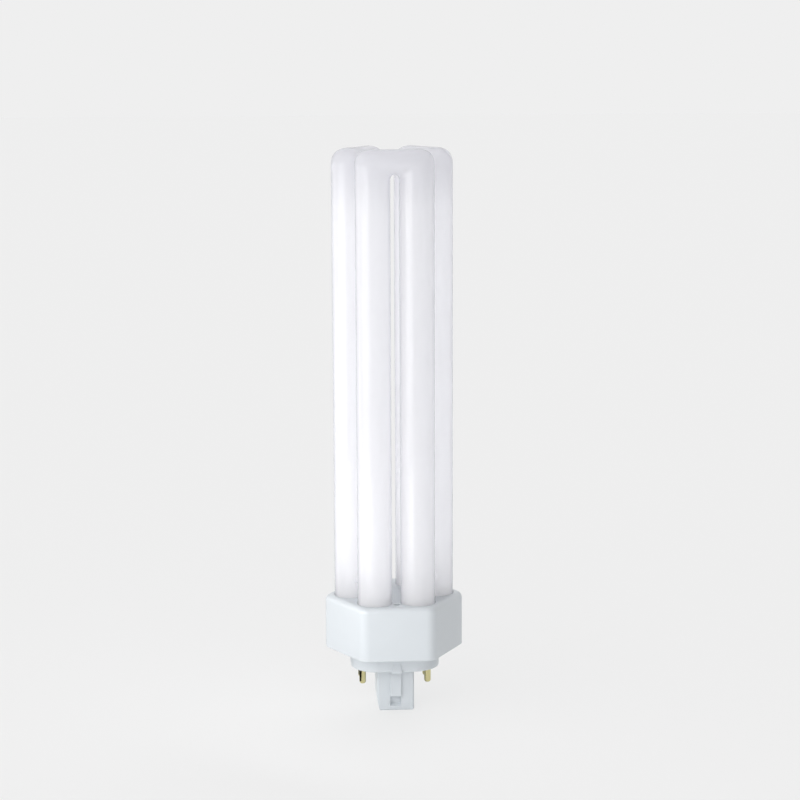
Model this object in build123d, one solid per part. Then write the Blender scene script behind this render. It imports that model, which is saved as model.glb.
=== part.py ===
"""Triple tube compact fluorescent lamp with a four-pin plug-in cap.

Millimetres. +Z runs along the lamp, from the cap towards the glass, and Z = 0 is the seating plane of the
cap, where it rests on a lampholder. -Y is the side of the front tube.
"""

import math
import os

from build123d import *

# Glass tubes: six legs evenly spaced on a ring, joined in pairs at the top
TUBE_DIAMETER = 12.0
RING_RADIUS = 14.95
TUBE_RISE = 156.6
BEND_HEIGHT = 8.6
CORNER_CUT_WIDTH = 2.6
CORNER_CUT_HEIGHT = 3.8
BEND_STEPS = 14
LEG_COUNT = 6

# Fused necks between neighbouring tubes
NECK_DIAMETER = 5.0
NECK_RISE = 7.2
NECK_FILLET = 0.9

# Tube ends inside the housing
TUBE_INSERT = 9.0
SEALED_END_RADIUS = 3.5
PINCH_WIDTH = 8.6
PINCH_THICKNESS = 2.8
PINCH_DROP = 4.2
PINCH_EDGE_RADIUS = 0.8

# Housing shell
TUBE_TO_WALL = 0.55
WIRE_ROOM = 3.6
HOUSING_CORNER_RADIUS = 4.5
HOUSING_TOP_RADIUS = 1.9
HOUSING_FOOT_CHAMFER = 0.35
HOUSING_WALL = 2.0
RIM_WALL = 1.4
TOP_PLATE = 2.0
TUBE_HOLE_CLEARANCE = 0.2
VENT_DIAMETER = 2.2
VENT_TO_WALL = 3.25

# Cement under the top plate
CEMENT_DEPTH = 3.5

# Cap: floor, collar and post
CAP_FLOOR = 2.2
CAP_FIT_CLEARANCE = 0.15
PIN_HEAD_TO_WALL = 0.4
COLLAR_DEPTH = 27.0
COLLAR_HEIGHT = 6.2
COLLAR_CORNER_RADIUS = 9.9
COLLAR_WALL = 1.8
COLLAR_FLOOR = 2.2
COLLAR_EDGE_RADIUS = 0.5
POST_WIDTH = 13.2
POST_DEPTH = 12.6
POST_LENGTH = 16.0
POST_CORNER_RADIUS = 0.8
POST_WALL = 2.6
POST_LEAD_IN = 0.95
POST_LEAD_IN_LENGTH = 7.5
POST_END_CHAMFER = 0.4

# Key ribs and latch pockets, one of each on the front and the rear of the post
KEY_WIDTH = 3.8
KEY_TOP_HEIGHT = 0.5
KEY_END_HEIGHT = 1.3
KEY_STRAIGHT_LENGTH = 2.4
POCKET_HEIGHT = 3.9
POCKET_DEPTH = 1.4
POCKET_RAMP = 0.9
POST_LIP = 1.6

# Wedge key on the front of the collar
WEDGE_TOP_WIDTH = 2.5
WEDGE_FOOT_WIDTH = 3.6
WEDGE_HEIGHT = 3.0
WEDGE_REACH = 1.0

# Contact pins
PIN_DIAMETER = 2.35
PIN_LENGTH = 6.5
PIN_TIP_RADIUS = 0.95
PIN_SPACING_ACROSS = 23.0
PIN_SPACING_ALONG = 8.0
PIN_SHANK_DIAMETER = 2.8
PIN_HEAD_DIAMETER = 3.6
PIN_HEAD_THICKNESS = 0.8
PIN_FIT_CLEARANCE = 0.02
SOLDER_CUP_DEPTH = 1.8

# Lead wires
WIRE_DIAMETER = 0.7
WIRE_CUP_CLEARANCE = 0.08
WIRE_PITCH_IN_PINCH = 3.0
WIRE_STRAIGHT = 1.8
WIRE_BEND_RADIUS = 1.2
WIRE_RISE_OVER_HEAD = 2.2

# Heights and spacings that follow from the sizes above
TUBE_RADIUS = TUBE_DIAMETER / 2
LEG_PITCH = 2 * RING_RADIUS * math.sin(math.pi / LEG_COUNT)
PAIR_OFFSET = RING_RADIUS * math.cos(math.pi / LEG_COUNT)
SLOT_RADIUS = LEG_PITCH / 2 - TUBE_RADIUS
VENT_RING_RADIUS = PAIR_OFFSET + TUBE_RADIUS + TUBE_TO_WALL - VENT_TO_WALL
HOUSING_WIDTH = 2 * (PAIR_OFFSET + TUBE_RADIUS + TUBE_TO_WALL + HOUSING_WALL)
HOUSING_HEIGHT = CAP_FLOOR + WIRE_ROOM + PINCH_DROP + TUBE_INSERT
HOUSING_TOP = COLLAR_HEIGHT + HOUSING_HEIGHT
TUBE_TOP = HOUSING_TOP + TUBE_RISE
TUBE_END = HOUSING_TOP - TUBE_INSERT
PINCH_END = TUBE_END - PINCH_DROP
BEND_CENTRE = TUBE_TOP - BEND_HEIGHT - SLOT_RADIUS
PLATE_UNDERSIDE = HOUSING_TOP - TOP_PLATE
CAP_FLOOR_TOP = COLLAR_HEIGHT + CAP_FLOOR
COLLAR_WIDTH = PIN_SPACING_ACROSS + PIN_HEAD_DIAMETER + 2 * (PIN_HEAD_TO_WALL + COLLAR_WALL)
PIN_HEAD_TOP = COLLAR_FLOOR + PIN_HEAD_THICKNESS
KEY_LENGTH = POST_LENGTH - POST_LIP - POCKET_HEIGHT
LEG_ANGLE = 360 / LEG_COUNT
FRONT = -90


def outer_reach(angle):
    """Distance from the slot's round end to the outside of the bend, along one direction in degrees."""
    side = LEG_PITCH / 2 + TUBE_RADIUS
    top = BEND_HEIGHT + SLOT_RADIUS
    across = abs(math.cos(math.radians(angle)))
    up = math.sin(math.radians(angle))
    cut_line = CORNER_CUT_HEIGHT * side + CORNER_CUT_WIDTH * (top - CORNER_CUT_HEIGHT)
    towards_cut = CORNER_CUT_HEIGHT * across + CORNER_CUT_WIDTH * up
    return 1 / max(across / side, up / top, towards_cut / cut_line)


def bend_section(angle):
    """Oval section of the bend on a plane that fans out from the slot's round end."""
    reach = outer_reach(angle)
    radial = (reach - SLOT_RADIUS) / 2
    direction = Vector(math.cos(math.radians(angle)), 0, math.sin(math.radians(angle)))
    onward = Vector(-math.sin(math.radians(angle)), 0, math.cos(math.radians(angle)))
    centre = Vector(0, 0, BEND_CENTRE) + direction * (SLOT_RADIUS + radial)
    oval = scale(Circle(TUBE_RADIUS), by=(radial / TUBE_RADIUS, 1, 1))
    return Plane(origin=centre, x_dir=direction, z_dir=onward) * oval


def u_bend():
    """Squared bend with cut corners that joins two legs."""
    step = 180 / BEND_STEPS
    return loft([bend_section(step * number) for number in range(BEND_STEPS + 1)])


def sealed_leg():
    """Leg whose lower end is closed round, standing on the axis."""
    leg = Pos(0, 0, TUBE_END) * extrude(Circle(TUBE_RADIUS), BEND_CENTRE - TUBE_END)
    return fillet(leg.edges().group_by(Axis.Z)[0], SEALED_END_RADIUS)


def electrode_leg():
    """Leg whose lower end narrows into the flat pinch that seals in two lead wires."""
    pinch = Pos(0, 0, PINCH_END) * extrude(
        RectangleRounded(PINCH_WIDTH, PINCH_THICKNESS, PINCH_EDGE_RADIUS), PINCH_DROP + SEALED_END_RADIUS
    )
    return sealed_leg() + pinch


def add_neck(leg, direction):
    """Give a leg its half of the hollow neck fused to the next tube, in one direction in degrees."""
    height = HOUSING_TOP + NECK_RISE
    pointing = Vector(math.cos(math.radians(direction)), math.sin(math.radians(direction)), 0)
    neck = Plane(origin=(0, 0, height), z_dir=pointing) * extrude(Circle(NECK_DIAMETER / 2), LEG_PITCH / 2)
    joined = leg + neck
    root = [
        edge
        for edge in joined.edges()
        if abs(edge.center().Z - height) < NECK_DIAMETER
        and edge.geom_type != GeomType.CIRCLE
        and edge.geom_type != GeomType.LINE
    ]
    return fillet(root, NECK_FILLET)


def u_tube(turn, left_end_fused, right_end_fused):
    """One glass tube, turned about the lamp's axis, with necks or electrode ends as asked."""
    left_leg = add_neck(sealed_leg(), 180 - LEG_ANGLE) if left_end_fused else electrode_leg()
    right_leg = add_neck(sealed_leg(), LEG_ANGLE) if right_end_fused else electrode_leg()
    tube = u_bend() + Pos(-LEG_PITCH / 2, 0, 0) * left_leg + Pos(LEG_PITCH / 2, 0, 0) * right_leg
    return Rot(0, 0, turn) * Pos(0, -PAIR_OFFSET, 0) * tube


def hexagon(width, corner_radius):
    """Six-sided outline with rounded corners and one flat to the front."""
    outline = RegularPolygon(width / 2, LEG_COUNT, major_radius=False)
    return fillet(outline.vertices(), corner_radius)


def discs(places, radius):
    """One disc at each place, as a single sketch."""
    return Sketch() + [place * Circle(radius) for place in places]


def tube_places():
    """The six leg axes, starting from the front pair's left leg."""
    return PolarLocations(RING_RADIUS, LEG_COUNT, start_angle=FRONT - LEG_ANGLE / 2)


def vent_places():
    """One small vent in front of each pair of legs."""
    return PolarLocations(VENT_RING_RADIUS, LEG_COUNT // 2, start_angle=FRONT)


def housing_shell():
    """Hollow six-sided housing, open below, with a ledge that the cap's floor meets."""
    outer = extrude(hexagon(HOUSING_WIDTH, HOUSING_CORNER_RADIUS), HOUSING_HEIGHT)
    outer = fillet(outer.edges().group_by(Axis.Z)[-1], HOUSING_TOP_RADIUS)
    outer = chamfer(outer.edges().group_by(Axis.Z)[0], HOUSING_FOOT_CHAMFER)
    cavity = extrude(
        hexagon(HOUSING_WIDTH - 2 * HOUSING_WALL, HOUSING_CORNER_RADIUS - HOUSING_WALL), HOUSING_HEIGHT - TOP_PLATE
    )
    rim = extrude(hexagon(HOUSING_WIDTH - 2 * RIM_WALL, HOUSING_CORNER_RADIUS - RIM_WALL), CAP_FLOOR)
    shell = Pos(0, 0, COLLAR_HEIGHT) * (outer - cavity - rim)
    holes = discs(tube_places(), TUBE_RADIUS + TUBE_HOLE_CLEARANCE) + discs(vent_places(), VENT_DIAMETER / 2)
    return shell - Pos(0, 0, PLATE_UNDERSIDE) * extrude(holes, TOP_PLATE)


def fixing_cement():
    """Cement cast under the top plate, round the tubes and against the housing's walls."""
    outline = hexagon(HOUSING_WIDTH - 2 * HOUSING_WALL, HOUSING_CORNER_RADIUS - HOUSING_WALL)
    outline -= discs(tube_places(), TUBE_RADIUS) + discs(vent_places(), VENT_DIAMETER / 2)
    return Pos(0, 0, PLATE_UNDERSIDE - CEMENT_DEPTH) * extrude(outline, CEMENT_DEPTH)


def pin_places():
    """The four contact pins, two at each side of the post."""
    return GridLocations(PIN_SPACING_ACROSS, PIN_SPACING_ALONG, 2, 2)


def collar_outline(inset):
    """The collar's rounded rectangle, drawn smaller by an inset on every side."""
    return RectangleRounded(COLLAR_WIDTH - 2 * inset, COLLAR_DEPTH - 2 * inset, COLLAR_CORNER_RADIUS - inset)


def post_profile():
    """Front view of the post: straight at the right, with a long curved lead-in at the left."""
    half = POST_WIDTH / 2
    left_foot = (-half + POST_LEAD_IN, -POST_LENGTH)
    curve_start = (-half, -POST_LENGTH + POST_LEAD_IN_LENGTH)
    lead_in = TangentArc(curve_start, left_foot, tangent=(0, -1))
    rest = Polyline(left_foot, (half, -POST_LENGTH), (half, 0), (-half, 0), curve_start)
    return Plane.XZ * make_face([lead_in, rest])


def post_body():
    """Outside of the post, from its root in the collar's floor down to its chamfered end."""
    outline = RectangleRounded(POST_WIDTH, POST_DEPTH, POST_CORNER_RADIUS)
    prism = Pos(0, 0, -POST_LENGTH) * extrude(outline, POST_LENGTH)
    body = prism & extrude(post_profile(), POST_DEPTH, both=True)
    return chamfer(body.faces().sort_by(Axis.Z)[0].edges(), POST_END_CHAMFER)


def key_rib():
    """Key rib on the post's front: straight at first, then rising gently to a step over the latch pocket."""
    front = -POST_DEPTH / 2
    side_view = Polyline(
        (front + POST_WALL / 2, 0),
        (front - KEY_TOP_HEIGHT, 0),
        (front - KEY_TOP_HEIGHT, -KEY_STRAIGHT_LENGTH),
        (front - KEY_END_HEIGHT, -KEY_LENGTH),
        (front + POST_WALL / 2, -KEY_LENGTH),
        close=True,
    )
    return extrude(Plane.YZ * make_face(side_view), KEY_WIDTH / 2, both=True)


def latch_pocket():
    """Pocket below the key rib, where the lampholder's spring snaps in. Its floor slopes outwards."""
    front = -POST_DEPTH / 2
    foot = -KEY_LENGTH - POCKET_HEIGHT
    side_view = Polyline(
        (front - KEY_END_HEIGHT, -KEY_LENGTH),
        (front + POCKET_DEPTH, -KEY_LENGTH),
        (front + POCKET_DEPTH, foot + POCKET_RAMP),
        (front, foot),
        (front - KEY_END_HEIGHT, foot),
        close=True,
    )
    return extrude(Plane.YZ * make_face(side_view), KEY_WIDTH / 2, both=True)


def collar_wedge():
    """Wedge on the collar's front that widens and stands out further towards its foot."""
    front = -COLLAR_DEPTH / 2
    foot = Plane.XY * Pos(0, front, 0) * Rectangle(WEDGE_FOOT_WIDTH, 2 * WEDGE_REACH)
    top = Plane.XY.offset(WEDGE_HEIGHT) * Pos(0, front + WEDGE_REACH / 2, 0) * Rectangle(WEDGE_TOP_WIDTH, WEDGE_REACH)
    return loft([foot, top])


def cap_base():
    """Cap moulding: floor that closes the housing, collar with the pins' holes, and the centre post."""
    floor_width = HOUSING_WIDTH - 2 * RIM_WALL - 2 * CAP_FIT_CLEARANCE
    floor_corner = HOUSING_CORNER_RADIUS - RIM_WALL - CAP_FIT_CLEARANCE
    floor = Pos(0, 0, COLLAR_HEIGHT) * extrude(hexagon(floor_width, floor_corner), CAP_FLOOR)
    collar = extrude(collar_outline(0), COLLAR_HEIGHT)
    collar = fillet(collar.edges().group_by(Axis.Z)[0], COLLAR_EDGE_RADIUS)
    cavity = Pos(0, 0, COLLAR_FLOOR) * extrude(collar_outline(COLLAR_WALL), CAP_FLOOR_TOP - COLLAR_FLOOR)
    post = post_body()
    for side in (0, 180):
        post += Rot(0, 0, side) * key_rib()
        post -= Rot(0, 0, side) * latch_pocket()
    bore_length = COLLAR_FLOOR + POST_LENGTH - POST_WALL
    bore = Pos(0, 0, COLLAR_FLOOR - bore_length) * extrude(
        Rectangle(POST_WIDTH - 2 * POST_WALL, POST_DEPTH - 2 * POST_WALL), bore_length
    )
    pin_holes = extrude(discs(pin_places(), PIN_SHANK_DIAMETER / 2 + PIN_FIT_CLEARANCE), COLLAR_FLOOR)
    return floor + collar + collar_wedge() + post - cavity - bore - pin_holes


def contact_pin():
    """Round-ended pin on a thicker shank, headed over inside the cap and bored for its lead wire."""
    pin = Pos(0, 0, -PIN_LENGTH) * extrude(Circle(PIN_DIAMETER / 2), PIN_LENGTH)
    pin = fillet(pin.edges().group_by(Axis.Z)[0], PIN_TIP_RADIUS)
    shank = extrude(Circle(PIN_SHANK_DIAMETER / 2), COLLAR_FLOOR)
    head = Pos(0, 0, COLLAR_FLOOR) * extrude(Circle(PIN_HEAD_DIAMETER / 2), PIN_HEAD_THICKNESS)
    cup = Pos(0, 0, PIN_HEAD_TOP - SOLDER_CUP_DEPTH) * extrude(
        Circle(WIRE_DIAMETER / 2 + WIRE_CUP_CLEARANCE), SOLDER_CUP_DEPTH
    )
    return pin + shank + head - cup


def lead_wire(side, row):
    """Wire from the electrode end at one side (-1 left) down to that side's pin in one row (-1 front)."""
    in_pinch = Pos(side * (LEG_PITCH - row * WIRE_PITCH_IN_PINCH) / 2, -PAIR_OFFSET, PINCH_END)
    start = (Rot(0, 0, side * 2 * LEG_ANGLE) * in_pinch).position
    pin_x = side * PIN_SPACING_ACROSS / 2
    pin_y = row * PIN_SPACING_ALONG / 2
    route = FilletPolyline(
        start,
        start - Vector(0, 0, WIRE_STRAIGHT),
        (pin_x, pin_y, PIN_HEAD_TOP + WIRE_RISE_OVER_HEAD),
        (pin_x, pin_y, PIN_HEAD_TOP - SOLDER_CUP_DEPTH),
        radius=WIRE_BEND_RADIUS,
    )
    section = Plane(origin=route @ 0, z_dir=route % 0) * Circle(WIRE_DIAMETER / 2)
    return sweep(section, path=route)


def contact_set():
    """The four pins and their wires, by node name."""
    pieces = {}
    for side, side_name in ((-1, "left"), (1, "right")):
        for row, row_name in ((-1, "front"), (1, "rear")):
            place = Pos(side * PIN_SPACING_ACROSS / 2, row * PIN_SPACING_ALONG / 2, 0)
            pieces[f"contact_pin_{row_name}_{side_name}"] = place * contact_pin()
            pieces[f"lead_wire_{row_name}_{side_name}"] = lead_wire(side, row)
    return pieces


def build_parts():
    """Every piece of the lamp, by node name."""
    pieces = {
        "front_u_tube": u_tube(0, left_end_fused=True, right_end_fused=True),
        "right_u_tube": u_tube(2 * LEG_ANGLE, left_end_fused=True, right_end_fused=False),
        "left_u_tube": u_tube(-2 * LEG_ANGLE, left_end_fused=False, right_end_fused=True),
        "housing_shell": housing_shell(),
        "fixing_cement": fixing_cement(),
        "cap_base": cap_base(),
    }
    pieces.update(contact_set())
    return pieces


os.makedirs("parts", exist_ok=True)
for name, piece in build_parts().items():
    export_step(piece, f"parts/{name}.step")
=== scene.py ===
"""Looks of a triple tube compact fluorescent lamp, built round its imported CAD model.

The lamp stands in its own frame, in metres: +Z runs from the cap to the glass, Z = 0 is the cap's
seating plane, and -Y is the side of the front tube.
"""

from __future__ import annotations

import logging
import math
from collections.abc import Sequence
from dataclasses import dataclass, field
from enum import Enum

import bpy
from mathutils import Matrix, Vector


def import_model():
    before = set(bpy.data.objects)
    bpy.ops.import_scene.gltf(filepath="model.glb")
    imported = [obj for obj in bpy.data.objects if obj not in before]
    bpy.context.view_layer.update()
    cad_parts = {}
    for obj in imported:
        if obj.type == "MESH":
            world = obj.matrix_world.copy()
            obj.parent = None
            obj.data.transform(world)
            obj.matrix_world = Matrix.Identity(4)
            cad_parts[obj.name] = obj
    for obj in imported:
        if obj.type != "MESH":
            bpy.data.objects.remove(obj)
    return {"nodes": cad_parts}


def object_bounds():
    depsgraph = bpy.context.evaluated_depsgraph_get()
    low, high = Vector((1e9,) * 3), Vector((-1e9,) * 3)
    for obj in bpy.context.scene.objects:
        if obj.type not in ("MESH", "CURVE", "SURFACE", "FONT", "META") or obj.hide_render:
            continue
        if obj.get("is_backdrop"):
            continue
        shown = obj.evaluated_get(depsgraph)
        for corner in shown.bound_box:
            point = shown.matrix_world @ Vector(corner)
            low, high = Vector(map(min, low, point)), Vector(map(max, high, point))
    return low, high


LOG = logging.getLogger("lamp")
MM = 0.001
LIGHT_BOUNCES = 12
MIX_FIRST, MIX_SECOND, MIX_RESULT = 6, 7, 2  # the mix node's sockets for colours

Colour = tuple[float, float, float, float]
Point = tuple[float, float, float]


class Side(Enum):
    """The two sides of the cap, seen from the front."""

    LEFT = "left"
    RIGHT = "right"


class Row(Enum):
    """The two rows of contact pins."""

    FRONT = "front"
    REAR = "rear"


class Grain(Enum):
    """How a finish's surface grain lies, as the pattern's stretch along X, Y and Z."""

    EVEN = (1.0, 1.0, 1.0)
    ALONG_LAMP = (1.0, 1.0, 0.08)


def colour(hex_value: str) -> Colour:
    """Turn an sRGB hex value into a linear colour.

    Args:
        hex_value: six hex digits after a hash, such as "#F2F2F0".

    Returns:
        Linear red, green, blue and an alpha of 1.
    """
    channels = [int(hex_value[start : start + 2], 16) / 255 for start in (1, 3, 5)]
    linear = [c / 12.92 if c <= 0.04045 else ((c + 0.055) / 1.055) ** 2.4 for c in channels]
    return (linear[0], linear[1], linear[2], 1.0)


def add_node(
    tree: bpy.types.NodeTree,
    kind: str,
    inputs: dict[str | int, object] | None = None,
    **settings: object,
) -> bpy.types.Node:
    """Add a node with its settings, its socket values and its links.

    Args:
        tree: the node tree that gets the node.
        kind: the node's type name.
        inputs: by socket name or number, a value or an output socket to link.
        settings: the node's own properties.

    Returns:
        The new node.
    """
    node = tree.nodes.new(kind)
    for name, value in settings.items():
        setattr(node, name, value)
    for key, value in (inputs or {}).items():
        if isinstance(value, bpy.types.NodeSocket):
            tree.links.new(value, node.inputs[key])
        else:
            node.inputs[key].default_value = value
    return node


def new_material(name: str) -> tuple[bpy.types.Material, bpy.types.NodeTree]:
    """Start a node material with an empty tree.

    Args:
        name: the material's name.

    Returns:
        The material and its tree.
    """
    material = bpy.data.materials.new(name)
    material.use_nodes = True
    material.node_tree.nodes.clear()
    return material, material.node_tree


def grain_noise(
    tree: bpy.types.NodeTree, size_mm: float, grain: Grain, detail: float
) -> bpy.types.NodeSocket:
    """Noise in the piece's own coordinates, at a real size.

    Args:
        tree: the material's tree.
        size_mm: size of one grain in millimetres.
        grain: how the pattern is stretched.
        detail: finer octaves of the noise.

    Returns:
        The noise's socket, from 0 to 1.
    """
    place = add_node(tree, "ShaderNodeTexCoord")
    stretch = add_node(
        tree, "ShaderNodeMapping", {"Vector": place.outputs["Object"], "Scale": grain.value}
    )
    noise = add_node(
        tree,
        "ShaderNodeTexNoise",
        {"Vector": stretch.outputs["Vector"], "Scale": 1 / (size_mm * MM), "Detail": detail},
    )
    return noise.outputs["Fac"]


@dataclass(frozen=True)
class CoatedGlass:
    """Drawn soda-lime tube with a white phosphor coating on its inner wall.

    The eye sees a matte, faintly cloudy white that lets light through, under a clear and very
    smooth skin that shows sharp reflections. Painted shade is mixed into the coating's colour: it
    darkens where the view grazes the tube's outline, and greys high on the bends, where less light
    falls from above.
    """

    name: str = "phosphor_coated_glass"
    thick_coating: str = "#FBFBFC"
    thin_coating: str = "#F8F8FA"
    # painted shade: a greyer coating high on the bends, where less light falls from above
    bend_painted_shade: str = "#EEEEF1"
    # painted shade: a darker coating along the tube's outline, where the view grazes it
    outline_painted_shade: str = "#EAEAEE"
    cloud_size_mm: float = 14.0
    cloud_detail: float = 3.0
    wave_size_mm: float = 9.0
    wave_detail: float = 1.0
    wave_height_mm: float = 0.02
    translucency: float = 0.7
    outline_shade_blend: float = 0.5
    outline_shade_start: float = 0.42
    outline_shade_end: float = 0.72
    bend_start_mm: float = 158.0
    bend_end_mm: float = 178.0
    glass_ior: float = 1.52
    glass_roughness: float = 0.04

    def coating_colour(self, tree: bpy.types.NodeTree) -> bpy.types.NodeSocket:
        """Mix the cloudy white with painted shade: greyer on the bends, darker along the outline.

        Args:
            tree: the material's tree.

        Returns:
            The colour socket.
        """
        cloud = grain_noise(tree, self.cloud_size_mm, Grain.ALONG_LAMP, self.cloud_detail)
        thin, thick = colour(self.thin_coating), colour(self.thick_coating)
        coating = add_node(
            tree,
            "ShaderNodeMix",
            {"Factor": cloud, MIX_FIRST: thin, MIX_SECOND: thick},
            data_type="RGBA",
        )
        place = add_node(tree, "ShaderNodeTexCoord")
        height = add_node(tree, "ShaderNodeSeparateXYZ", {0: place.outputs["Object"]})
        # painted shade: the coating greys high on the bends, where less light falls from above
        top_shade_mask = add_node(
            tree,
            "ShaderNodeMapRange",
            {
                "Value": height.outputs["Z"],
                "From Min": self.bend_start_mm * MM,
                "From Max": self.bend_end_mm * MM,
            },
            interpolation_type="SMOOTHSTEP",
        )
        whole = add_node(
            tree,
            "ShaderNodeMix",
            {
                "Factor": top_shade_mask.outputs["Result"],
                MIX_FIRST: coating.outputs[MIX_RESULT],
                MIX_SECOND: colour(self.bend_painted_shade),
            },
            data_type="RGBA",
        )
        # painted shade: the coating darkens where the view grazes the tube's outline
        facing = add_node(tree, "ShaderNodeLayerWeight", {"Blend": self.outline_shade_blend})
        edge = add_node(
            tree,
            "ShaderNodeMapRange",
            {
                "Value": facing.outputs["Facing"],
                "From Min": self.outline_shade_start,
                "From Max": self.outline_shade_end,
            },
        )
        both = add_node(
            tree,
            "ShaderNodeMix",
            {
                "Factor": edge.outputs["Result"],
                MIX_FIRST: whole.outputs[MIX_RESULT],
                MIX_SECOND: colour(self.outline_painted_shade),
            },
            data_type="RGBA",
        )
        return both.outputs[MIX_RESULT]

    def skin_share(
        self, tree: bpy.types.NodeTree, skin: bpy.types.NodeSocket
    ) -> bpy.types.NodeSocket:
        """Share of the light that the glass reflects, which is none on the inside of the wall.

        Args:
            tree: the material's tree.
            skin: the normal of the wavy glass.

        Returns:
            The factor socket.
        """
        gloss = add_node(tree, "ShaderNodeFresnel", {"IOR": self.glass_ior, "Normal": skin})
        place = add_node(tree, "ShaderNodeNewGeometry")
        outside = add_node(
            tree, "ShaderNodeMath", {0: 1.0, 1: place.outputs["Backfacing"]}, operation="SUBTRACT"
        )
        share = add_node(
            tree,
            "ShaderNodeMath",
            {0: gloss.outputs["Fac"], 1: outside.outputs["Value"]},
            operation="MULTIPLY",
        )
        return share.outputs["Value"]

    def material(self) -> bpy.types.Material:
        """Build the glass with its coating.

        Returns:
            The material.
        """
        material, tree = new_material(self.name)
        tone = self.coating_colour(tree)
        wave = grain_noise(tree, self.wave_size_mm, Grain.ALONG_LAMP, self.wave_detail)
        skin = add_node(
            tree,
            "ShaderNodeBump",
            {"Height": wave, "Distance": self.wave_height_mm * MM, "Strength": 1.0},
        )
        matte = add_node(tree, "ShaderNodeBsdfDiffuse", {"Color": tone})
        passing = add_node(tree, "ShaderNodeBsdfTranslucent", {"Color": tone})
        coating = add_node(
            tree,
            "ShaderNodeMixShader",
            {0: self.translucency, 1: matte.outputs["BSDF"], 2: passing.outputs["BSDF"]},
        )
        mirror = add_node(
            tree,
            "ShaderNodeBsdfAnisotropic",
            {"Roughness": self.glass_roughness, "Normal": skin.outputs["Normal"]},
        )
        surface = add_node(
            tree,
            "ShaderNodeMixShader",
            {
                0: self.skin_share(tree, skin.outputs["Normal"]),
                1: coating.outputs["Shader"],
                2: mirror.outputs["BSDF"],
            },
        )
        add_node(tree, "ShaderNodeOutputMaterial", {"Surface": surface.outputs["Shader"]})
        return material


@dataclass(frozen=True)
class MouldedPlastic:
    """White glass-filled PBT, injection moulded in a finely spark-eroded tool.

    The eye sees a cool white with a satin sheen, broken by a very fine grain and faint flow marks.
    The real grain is about 0.1 mm and is drawn coarser, so that it shows.
    """

    name: str = "moulded_pbt"
    face: str = "#CBD0D4"
    flow_mark: str = "#C8CDD1"
    flow_size_mm: float = 6.0
    flow_detail: float = 2.0
    grain_size_mm: float = 0.35
    grain_detail: float = 2.0
    grain_height_mm: float = 0.006
    roughness: float = 0.38
    ior: float = 1.5

    def material(self) -> bpy.types.Material:
        """Build the plastic.

        Returns:
            The material.
        """
        material, tree = new_material(self.name)
        flow = grain_noise(tree, self.flow_size_mm, Grain.EVEN, self.flow_detail)
        tint = add_node(
            tree,
            "ShaderNodeMix",
            {"Factor": flow, MIX_FIRST: colour(self.face), MIX_SECOND: colour(self.flow_mark)},
            data_type="RGBA",
        )
        grain = grain_noise(tree, self.grain_size_mm, Grain.EVEN, self.grain_detail)
        bump = add_node(
            tree,
            "ShaderNodeBump",
            {"Height": grain, "Distance": self.grain_height_mm * MM, "Strength": 1.0},
        )
        surface = add_node(
            tree,
            "ShaderNodeBsdfPrincipled",
            {
                "Base Color": tint.outputs[MIX_RESULT],
                "Roughness": self.roughness,
                "IOR": self.ior,
                "Normal": bump.outputs["Normal"],
            },
        )
        add_node(tree, "ShaderNodeOutputMaterial", {"Surface": surface.outputs["BSDF"]})
        return material


@dataclass(frozen=True)
class DrawnMetal:
    """Drawn metal, bright from the die, with fine lines along its length.

    The eye sees a mirror that is softened across the lines and a little uneven in tone. The real
    lines are about 0.05 mm apart and are drawn coarser, so that they show.
    """

    name: str
    bright: str
    dull: str
    roughness: float
    line_size_mm: float = 0.3
    line_detail: float = 2.0
    line_height_mm: float = 0.002

    def material(self) -> bpy.types.Material:
        """Build the metal.

        Returns:
            The material.
        """
        material, tree = new_material(self.name)
        lines = grain_noise(tree, self.line_size_mm, Grain.ALONG_LAMP, self.line_detail)
        tone = add_node(
            tree,
            "ShaderNodeMix",
            {"Factor": lines, MIX_FIRST: colour(self.dull), MIX_SECOND: colour(self.bright)},
            data_type="RGBA",
        )
        bump = add_node(
            tree,
            "ShaderNodeBump",
            {"Height": lines, "Distance": self.line_height_mm * MM, "Strength": 1.0},
        )
        surface = add_node(
            tree,
            "ShaderNodeBsdfPrincipled",
            {
                "Base Color": tone.outputs[MIX_RESULT],
                "Metallic": 1.0,
                "Roughness": self.roughness,
                "Normal": bump.outputs["Normal"],
            },
        )
        add_node(tree, "ShaderNodeOutputMaterial", {"Surface": surface.outputs["BSDF"]})
        return material


@dataclass(frozen=True)
class CastCement:
    """Off-white fixing cement, poured and baked.

    The eye sees a dry, chalky and slightly sandy mass.
    """

    name: str = "fixing_cement"
    body: str = "#CFC9BC"
    grit: str = "#B9B2A3"
    grit_size_mm: float = 0.5
    grit_detail: float = 4.0
    grit_height_mm: float = 0.08
    roughness: float = 0.95

    def material(self) -> bpy.types.Material:
        """Build the cement.

        Returns:
            The material.
        """
        material, tree = new_material(self.name)
        grit = grain_noise(tree, self.grit_size_mm, Grain.EVEN, self.grit_detail)
        tone = add_node(
            tree,
            "ShaderNodeMix",
            {"Factor": grit, MIX_FIRST: colour(self.grit), MIX_SECOND: colour(self.body)},
            data_type="RGBA",
        )
        bump = add_node(
            tree,
            "ShaderNodeBump",
            {"Height": grit, "Distance": self.grit_height_mm * MM, "Strength": 1.0},
        )
        surface = add_node(
            tree,
            "ShaderNodeBsdfPrincipled",
            {
                "Base Color": tone.outputs[MIX_RESULT],
                "Roughness": self.roughness,
                "Normal": bump.outputs["Normal"],
            },
        )
        add_node(tree, "ShaderNodeOutputMaterial", {"Surface": surface.outputs["BSDF"]})
        return material


def dress(node: bpy.types.Object, material: bpy.types.Material) -> bpy.types.Object:
    """Give a CAD node its finish.

    Args:
        node: the CAD node's object.
        material: the finish for all of it.

    Returns:
        The same object.
    """
    node.data.materials.clear()
    node.data.materials.append(material)
    return node


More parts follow.
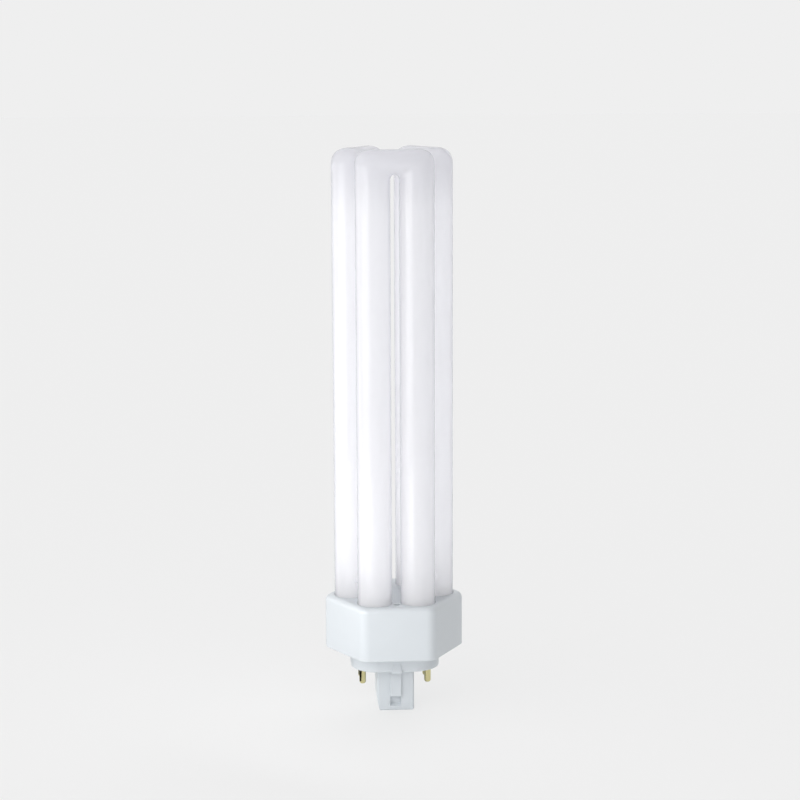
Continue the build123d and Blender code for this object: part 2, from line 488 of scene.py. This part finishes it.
@dataclass
class GlassVessel:
    """The three bent tubes, fused to each other by short necks near the housing."""

    nodes: dict[str, bpy.types.Object]
    glass: CoatedGlass = field(default_factory=CoatedGlass)
    tubes: tuple[str, ...] = ("front_u_tube", "left_u_tube", "right_u_tube")

    def build(self) -> list[bpy.types.Object]:
        """Dress the three tubes.

        Returns:
            The tubes.
        """
        finish = self.glass.material()
        return [dress(self.nodes[tube], finish) for tube in self.tubes]


@dataclass
class PlugHousing:
    """The six-sided housing, the cement inside it, and the cap with its post."""

    nodes: dict[str, bpy.types.Object]
    plastic: MouldedPlastic = field(default_factory=MouldedPlastic)
    cement: CastCement = field(default_factory=CastCement)
    mouldings: tuple[str, ...] = ("housing_shell", "cap_base")

    def build(self) -> list[bpy.types.Object]:
        """Dress the mouldings and the cement.

        Returns:
            The housing, the cap and the cement.
        """
        finish = self.plastic.material()
        dressed = [dress(self.nodes[name], finish) for name in self.mouldings]
        return [*dressed, dress(self.nodes["fixing_cement"], self.cement.material())]


@dataclass
class Contacts:
    """The four contact pins and the wires that lead to them."""

    nodes: dict[str, bpy.types.Object]
    brass: DrawnMetal = DrawnMetal(
        name="drawn_brass", bright="#D2CCA0", dull="#BFB684", roughness=0.16
    )
    nickel: DrawnMetal = DrawnMetal(
        name="nickel_wire", bright="#C9C6C0", dull="#B5B1AB", roughness=0.3
    )

    def build(self) -> list[bpy.types.Object]:
        """Dress each pin and its wire.

        Returns:
            The pins and the wires.
        """
        brass = self.brass.material()
        nickel = self.nickel.material()
        pieces = []
        for row in Row:
            for side in Side:
                corner = f"{row.value}_{side.value}"
                pieces.append(dress(self.nodes[f"contact_pin_{corner}"], brass))
                pieces.append(dress(self.nodes[f"lead_wire_{corner}"], nickel))
        return pieces


@dataclass(frozen=True)
class Softbox:
    """A rectangular soft light with an even glow, which the camera doesn't see.

    A light that is gloss_only shows in shiny surfaces and doesn't light matte ones.
    """

    name: str
    place: Point
    aim: Point
    size: tuple[float, float]
    radiance: float
    gloss_only: bool = False

    def build(self) -> None:
        """Hang the light and give it the power that its glow and its area need."""
        bpy.ops.object.light_add(type="AREA", location=self.place)
        light = bpy.context.object
        light.name = self.name
        ray = Vector(self.aim) - Vector(self.place)
        light.rotation_euler = ray.to_track_quat("-Z", "Y").to_euler()
        light.data.shape = "RECTANGLE"
        light.data.size, light.data.size_y = self.size
        light.data.energy = math.pi * self.radiance * self.size[0] * self.size[1]
        light.visible_camera = False
        light.visible_diffuse = not self.gloss_only


@dataclass(frozen=True)
class Lobe:
    """A brighter or darker part of the surroundings.

    It lies round the direction way. Its strength is added in full within the angle whose cosine is
    core, and fades to nothing at the angle whose cosine is edge.
    """

    way: Point
    edge: float
    core: float
    strength: float


@dataclass
class Studio:
    """Pale floor, soft light and the camera at the photograph's viewing angle."""

    floor_height: float
    backdrop: str = "#EFEFEF"
    fill_colour: str = "#FFFFFF"
    floor_colour: str = "#F8F8F8"
    floor_shown_colour: str = "#F0F0F0"
    card_colour: str = "#101010"
    floor_size: float = 12.0
    floor_matt: float = 0.22
    fill: float = 1.45
    fill_slope: Point = (-0.06, -0.55, -0.8)
    lobes: tuple[Lobe, ...] = (
        Lobe(way=(0.35, 0.937, 0.0), edge=0.5, core=0.95, strength=2.9),
        Lobe(way=(0.96, -0.28, 0.0), edge=0.3, core=0.88, strength=-1.45),
    )
    lights: tuple[Softbox, ...] = (
        Softbox(
            name="key_front_left",
            place=(-0.157, -0.135, 0.115),
            aim=(-0.013, -0.073, 0.115),
            size=(0.182, 0.1),
            radiance=0.8,
        ),
        Softbox(
            name="gleam_front_left",
            place=(-0.154, -0.134, 0.088),
            aim=(-0.01, -0.072, 0.088),
            size=(0.182, 0.2),
            radiance=1.9,
            gloss_only=True,
        ),
        Softbox(
            name="gleam_left",
            place=(-0.179, 0.033, 0.088),
            aim=(-0.014, -0.009, 0.088),
            size=(0.174, 0.2),
            radiance=1.4,
            gloss_only=True,
        ),
        Softbox(
            name="key_low",
            place=(-0.036, -0.066, 0.036),
            aim=(0.0, -0.02, 0.02),
            size=(0.045, 0.05),
            radiance=1.4,
        ),
    )
    card_place: Point = (-0.036, 0.0, -0.0085)
    card_size: tuple[float, float] = (0.2, 0.014)
    camera_place: Point = (-0.04874, -0.71969, 0.21766)
    camera_azimuth: float = -4.067
    camera_tilt: float = 9.704
    camera_roll: float = 0.235
    camera_lens: float = 94.592

    def shown_ray(self, tree: bpy.types.NodeTree) -> bpy.types.NodeSocket:
        """Tell the rays that show the background, straight or in gloss, from those that light.

        Args:
            tree: the tree that gets the test.

        Returns:
            A socket that is 1 for those rays.
        """
        path = add_node(tree, "ShaderNodeLightPath")
        shown = add_node(
            tree,
            "ShaderNodeMath",
            {0: path.outputs["Is Camera Ray"], 1: path.outputs["Is Glossy Ray"]},
            operation="MAXIMUM",
        )
        return shown.outputs["Value"]

    def fill_strength(self, tree: bpy.types.NodeTree) -> bpy.types.NodeSocket:
        """Strength of the fill light by direction: its slope, then each lobe, never below zero.

        Args:
            tree: the world's tree.

        Returns:
            The strength socket.
        """
        way = add_node(tree, "ShaderNodeTexCoord").outputs["Generated"]
        lean = add_node(
            tree, "ShaderNodeVectorMath", {0: way, 1: self.fill_slope}, operation="DOT_PRODUCT"
        )
        level = add_node(
            tree, "ShaderNodeMath", {0: lean.outputs["Value"], 1: self.fill}, operation="ADD"
        )
        for lobe in self.lobes:
            near = add_node(
                tree, "ShaderNodeVectorMath", {0: way, 1: lobe.way}, operation="DOT_PRODUCT"
            )
            part = add_node(
                tree,
                "ShaderNodeMapRange",
                {
                    "Value": near.outputs["Value"],
                    "From Min": lobe.edge,
                    "From Max": lobe.core,
                    "To Max": lobe.strength,
                },
            )
            level = add_node(
                tree,
                "ShaderNodeMath",
                {0: level.outputs["Value"], 1: part.outputs["Result"]},
                operation="ADD",
            )
        lit = add_node(
            tree, "ShaderNodeMath", {0: level.outputs["Value"], 1: 0.0}, operation="MAXIMUM"
        )
        return lit.outputs["Value"]

    def make_world(self) -> None:
        """Fill light from all round, behind the plain backdrop's colour."""
        world = bpy.data.worlds.new("studio_surround")
        world.use_nodes = True
        tree = world.node_tree
        tree.nodes.clear()
        soft = add_node(
            tree,
            "ShaderNodeBackground",
            {"Color": colour(self.fill_colour), "Strength": self.fill_strength(tree)},
        )
        plain = add_node(
            tree, "ShaderNodeBackground", {"Color": colour(self.backdrop), "Strength": 1.0}
        )
        both = add_node(
            tree,
            "ShaderNodeMixShader",
            {
                0: self.shown_ray(tree),
                1: soft.outputs["Background"],
                2: plain.outputs["Background"],
            },
        )
        add_node(tree, "ShaderNodeOutputWorld", {"Surface": both.outputs["Shader"]})
        bpy.context.scene.world = world

    def floor_material(self) -> bpy.types.Material:
        """Matt floor for the light, which the camera sees mostly as the backdrop's even tone.

        Returns:
            The material.
        """
        material, tree = new_material("pale_floor")
        matt = add_node(tree, "ShaderNodeBsdfDiffuse", {"Color": colour(self.floor_colour)})
        glow = add_node(
            tree, "ShaderNodeEmission", {"Color": colour(self.backdrop), "Strength": 1.0}
        )
        dim = add_node(tree, "ShaderNodeBsdfDiffuse", {"Color": colour(self.floor_shown_colour)})
        seen = add_node(
            tree,
            "ShaderNodeMixShader",
            {0: 1 - self.floor_matt, 1: dim.outputs["BSDF"], 2: glow.outputs["Emission"]},
        )
        both = add_node(
            tree,
            "ShaderNodeMixShader",
            {
                0: add_node(tree, "ShaderNodeLightPath").outputs["Is Camera Ray"],
                1: matt.outputs["BSDF"],
                2: seen.outputs["Shader"],
            },
        )
        add_node(tree, "ShaderNodeOutputMaterial", {"Surface": both.outputs["Shader"]})
        return material

    def make_floor(self) -> None:
        """Lay the pale floor that takes the lamp's soft shadow."""
        bpy.ops.mesh.primitive_plane_add(size=self.floor_size, location=(0, 0, self.floor_height))
        floor = bpy.context.object
        floor.name = "floor"
        bpy.ops.object.transform_apply(location=True, rotation=True, scale=True)
        floor.data.materials.append(self.floor_material())
        floor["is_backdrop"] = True

    def make_card(self) -> None:
        """Stand a dark card beside the pins, seen only in gloss, for the metal's dark side."""
        material, tree = new_material("dark_card")
        black = add_node(tree, "ShaderNodeBsdfDiffuse", {"Color": colour(self.card_colour)})
        add_node(tree, "ShaderNodeOutputMaterial", {"Surface": black.outputs["BSDF"]})
        bpy.ops.mesh.primitive_plane_add(
            size=1.0, location=self.card_place, rotation=(0, math.pi / 2, 0)
        )
        card = bpy.context.object
        card.name = "dark_card"
        depth, height = self.card_size
        card.scale = (height, depth, 1.0)
        bpy.ops.object.transform_apply(location=True, rotation=True, scale=True)
        card.data.materials.append(material)
        card.visible_camera = False
        card.visible_diffuse = False
        card.visible_shadow = False
        card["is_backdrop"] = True

    def make_camera(self) -> None:
        """Set up the camera where the photograph was taken from."""
        camera = bpy.data.objects.new("camera", bpy.data.cameras.new("camera"))
        bpy.context.scene.collection.objects.link(camera)
        camera.data.lens = self.camera_lens
        turn = (
            Matrix.Rotation(math.radians(self.camera_azimuth), 4, "Z")
            @ Matrix.Rotation(math.radians(90 - self.camera_tilt), 4, "X")
            @ Matrix.Rotation(math.radians(-self.camera_roll), 4, "Z")
        )
        camera.matrix_world = Matrix.Translation(self.camera_place) @ turn
        bpy.context.scene.camera = camera

    def build(self) -> None:
        """Set up the whole studio."""
        self.make_world()
        self.make_floor()
        self.make_card()
        for light in self.lights:
            light.build()
        self.make_camera()


def corners(box: Sequence[Vector]) -> list[list[float]]:
    """Turn a box's two corners into plain lists of numbers.

    Args:
        box: the lowest and the highest corner.

    Returns:
        Both corners, as lists of X, Y and Z.
    """
    return [list(corner) for corner in box]


def main() -> None:
    """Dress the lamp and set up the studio."""
    logging.basicConfig(level=logging.INFO, format="%(name)s: %(message)s")
    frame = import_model()
    cad_box = corners(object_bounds())
    bpy.ops.object.select_all(action="DESELECT")
    nodes = frame["nodes"]
    for assembly in (GlassVessel(nodes), PlugHousing(nodes), Contacts(nodes)):
        for piece in assembly.build():
            faces = len(piece.data.polygons)
            LOG.info("%s: %s, %d faces", type(assembly).__name__, piece.name, faces)
    Studio(floor_height=cad_box[0][2]).build()
    scene = bpy.context.scene
    scene.view_settings.view_transform = "Standard"
    scene.cycles.max_bounces = LIGHT_BOUNCES
    scene.cycles.diffuse_bounces = LIGHT_BOUNCES


if __name__ == "__main__":
    main()
